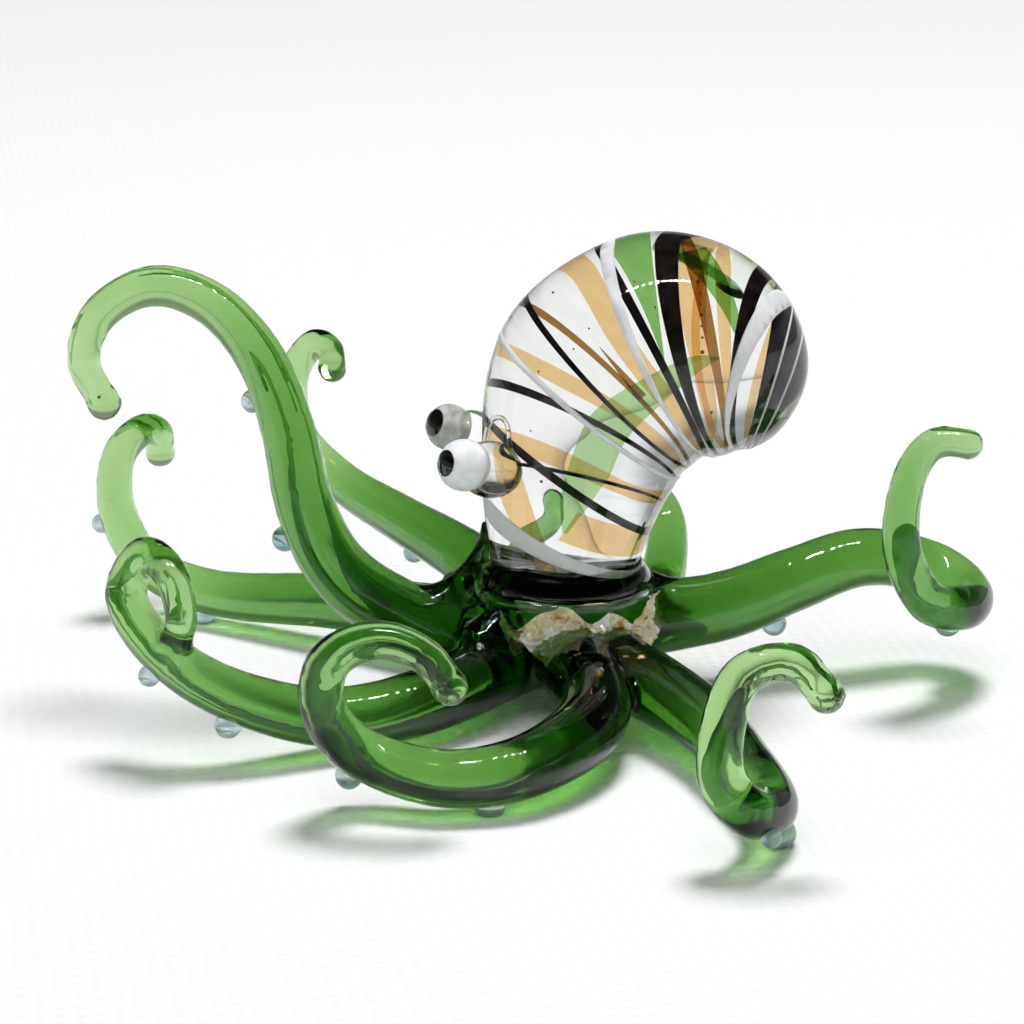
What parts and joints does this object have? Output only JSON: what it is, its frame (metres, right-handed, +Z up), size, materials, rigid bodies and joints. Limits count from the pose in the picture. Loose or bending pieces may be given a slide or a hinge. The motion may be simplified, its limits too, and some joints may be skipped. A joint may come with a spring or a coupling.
{
  "type": "octopus figurine",
  "caption": "Lampworked glass octopus ornament: a bent clear mantle with coloured hoops on a green hub with curled tapering arms, glass suckers and bead eyes.",
  "frame": {"origin": "middle of the whole object's footprint, on the surface it stands on", "axes": "+Z up, the face looks along -X, the octopus's own left is -Y"},
  "size_m": [0.0902, 0.0958, 0.0456],
  "materials": {
    "green_glass": "gloss",
    "clear_glass": "gloss",
    "opal_glass": "gloss",
    "black_glass": "gloss",
    "white_glass": "gloss",
    "amber_glass": "gloss",
    "eye_white": "gloss",
    "pupil_black": "gloss"
  },
  "bodies": {
    "root": {"mantle": "clear_glass", "neck_lip": "clear_glass", "hub": "green_glass", "collar": "green_glass", "black_bands": "black_glass", "white_bands": "white_glass", "amber_bands": "amber_glass", "arm_tall": "green_glass", "suckers_tall": "opal_glass", "arm_back": "green_glass", "suckers_back": "opal_glass", "arm_left": "green_glass", "suckers_left": "opal_glass", "arm_outer": "green_glass", "suckers_outer": "opal_glass", "arm_front": "green_glass", "suckers_front": "opal_glass", "arm_near": "green_glass", "suckers_near": "opal_glass", "arm_right": "green_glass", "suckers_right": "opal_glass", "arm_rear": "green_glass", "suckers_rear": "opal_glass", "left_eye_boss": "clear_glass", "left_eye_white": "eye_white", "left_eye_pupil": "pupil_black", "right_eye_boss": "clear_glass", "right_eye_white": "eye_white", "right_eye_pupil": "pupil_black"}
  },
  "joints": []
}
